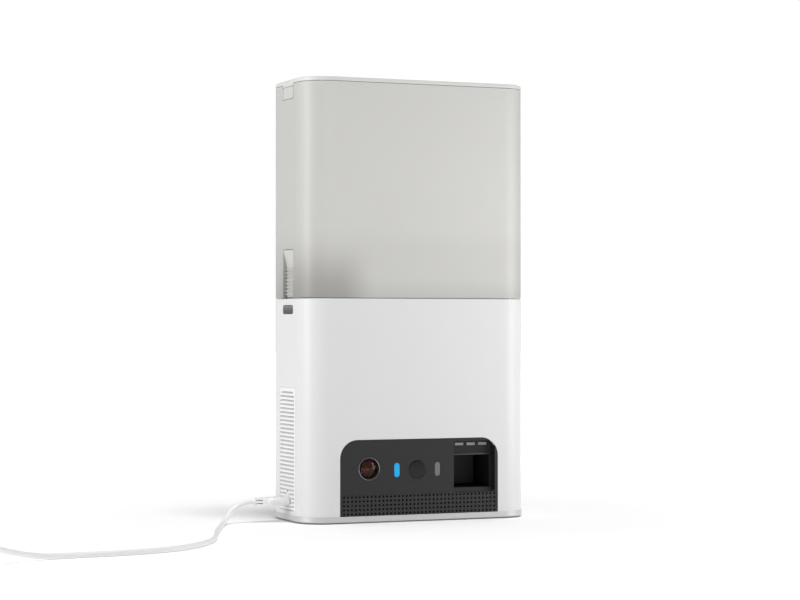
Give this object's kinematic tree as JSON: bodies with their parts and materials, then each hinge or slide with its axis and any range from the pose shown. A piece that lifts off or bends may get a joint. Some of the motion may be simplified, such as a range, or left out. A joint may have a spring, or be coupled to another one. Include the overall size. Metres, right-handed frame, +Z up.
{
  "type": "treat tossing pet camera",
  "caption": "White pet camera with a black front panel, speaker grille and toss opening, under a translucent lift-off treat hopper, with a USB cable",
  "frame": {"origin": "middle of the plan of the housing, on the surface that the feet stand on", "axes": "+Z up, X along the front to the right as seen from the front, Y from the front to the back"},
  "size_m": [0.4099, 0.2234, 0.2625],
  "materials": {
    "white_shell": "satin moulded white",
    "silver_plate": "silver grey paint",
    "rubber_feet": "matt",
    "steel": "plain",
    "black_panel": "gloss black",
    "black_grille": "satin black",
    "lens_glass": "polished",
    "lens_ring": "satin dark grey",
    "inner_black": "matt",
    "circuit_board": "solder mask",
    "blue_light": "lit light pipe",
    "grey_light": "unlit light pipe",
    "sensor_glass": "dark window",
    "dark_moulding": "matt",
    "smoke_hopper": "translucent warm grey",
    "hopper_inner": "satin grey",
    "grip_grey": "satin grey",
    "button_grey": "satin dark grey",
    "lid_grey": "satin light grey",
    "seal_rubber": "soft white",
    "gear_nylon": "natural nylon",
    "cable_white": "satin white",
    "plug_white": "satin white"
  },
  "bodies": {
    "base": {"base_housing": "white_shell", "base_plate": "silver_plate", "rubber_feet": "rubber_feet", "screws": "steel", "front_panel": "black_panel", "speaker_grille": "black_grille", "speaker_driver": "inner_black", "lens_ring": "lens_ring", "camera_lens": "lens_glass", "camera_barrel": "inner_black", "camera_board": "circuit_board", "power_light": "blue_light", "status_light": "grey_light", "sensor_window": "sensor_glass", "light_board": "circuit_board", "main_board": "circuit_board", "usb_socket": "steel", "port_board": "circuit_board", "reset_switch": "inner_black", "deck": "dark_moulding", "chute": "dark_moulding", "toss_chamber": "dark_moulding", "brow_windows": "grey_light", "kick_motor": "steel", "kick_bracket": "dark_moulding", "feed_motor": "steel", "feed_bracket": "dark_moulding", "vent_left": "white_shell", "vent_right": "white_shell", "usb_plug": "plug_white", "plug_tongue": "steel", "strain_relief": "plug_white", "usb_cable": "cable_white", "cable_coil": "cable_white", "adapter_plug": "plug_white", "adapter_shell": "steel"},
    "hopper": {"hopper_shell": "smoke_hopper", "hopper_floor": "hopper_inner", "hopper_tray": "hopper_inner", "outlet_shield": "hopper_inner", "rotor_pin": "steel", "latch_pin_left": "steel", "latch_pin_right": "steel"},
    "rotor": {"feed_rotor": "gear_nylon"},
    "pinion": {"feed_pinion": "gear_nylon", "feed_motor_shaft": "steel"},
    "kicker_arm": {"kicker": "dark_moulding", "kick_shaft": "steel", "kick_gear": "gear_nylon"},
    "kick_drive": {"kick_pinion": "gear_nylon", "kick_motor_shaft": "steel"},
    "lid_cover": {"lid": "lid_grey", "lid_seal": "seal_rubber"},
    "tab_left": {"lid_tab_left": "lid_grey"},
    "tab_right": {"lid_tab_right": "lid_grey"},
    "grip_left": {"latch_left": "grip_grey"},
    "grip_right": {"latch_right": "grip_grey"},
    "button_left": {"release_left": "button_grey"},
    "button_right": {"release_right": "button_grey"},
    "reset": {"reset_button": "inner_black"}
  },
  "joints": [
    {"name": "hopper_lift", "type": "slide", "parent": "base", "child": "hopper", "axis": [0, 0, 1], "range_m": [0, 0.06]},
    {"name": "lid_lift", "type": "slide", "parent": "hopper", "child": "lid_cover", "axis": [0, 0, 1], "range_m": [0, 0.03]},
    {"name": "rotor_turn", "type": "hinge", "parent": "hopper", "child": "rotor", "pos_m": [0.0315, 0, 0.1295], "axis": [0, 0, 1], "continuous": true},
    {"name": "pinion_turn", "type": "hinge", "parent": "base", "child": "pinion", "pos_m": [-0.0015, 0, 0.1295], "axis": [0, 0, 1], "continuous": true},
    {"name": "kicker_swing", "type": "hinge", "parent": "base", "child": "kicker_arm", "pos_m": [0.035, -0.009, 0.043], "axis": [-1, 0, 0], "range_deg": [0, 60]},
    {"name": "kick_pinion_turn", "type": "hinge", "parent": "base", "child": "kick_drive", "pos_m": [0.0185, 0.007, 0.043], "axis": [-1, 0, 0], "range_deg": [-180.5, 0.5]},
    {"name": "release_left_press", "type": "slide", "parent": "base", "child": "button_left", "axis": [1, 0, 0], "range_m": [0, 0.0012], "stiffness_N_per_m": 300},
    {"name": "release_right_press", "type": "slide", "parent": "base", "child": "button_right", "axis": [-1, 0, 0], "range_m": [0, 0.0012], "stiffness_N_per_m": 300},
    {"name": "grip_left_swing", "type": "hinge", "parent": "hopper", "child": "grip_left", "pos_m": [-0.0691, -0.0025, 0.159], "axis": [0, -1, 0], "range_deg": [0, 2.08]},
    {"name": "grip_right_swing", "type": "hinge", "parent": "hopper", "child": "grip_right", "pos_m": [0.0691, -0.0025, 0.159], "axis": [0, 1, 0], "range_deg": [0, 2.08]},
    {"name": "lid_tab_left_press", "type": "slide", "parent": "lid_cover", "child": "tab_left", "axis": [1, 0, 0], "range_m": [0, 0.0012], "stiffness_N_per_m": 300},
    {"name": "lid_tab_right_press", "type": "slide", "parent": "lid_cover", "child": "tab_right", "axis": [-1, 0, 0], "range_m": [0, 0.0012], "stiffness_N_per_m": 300},
    {"name": "reset_press", "type": "slide", "parent": "base", "child": "reset", "axis": [1, 0, 0], "range_m": [0, 0.0005], "stiffness_N_per_m": 300}
  ],
  "couplings": [
    {"joint": "pinion_turn", "follows": "rotor_turn", "ratio": -4.5},
    {"joint": "kick_pinion_turn", "follows": "kicker_swing", "ratio": -3},
    {"joint": "grip_left_swing", "follows": "release_left_press", "rad_per_m": 30.12},
    {"joint": "grip_right_swing", "follows": "release_right_press", "rad_per_m": 30.12}
  ]
}
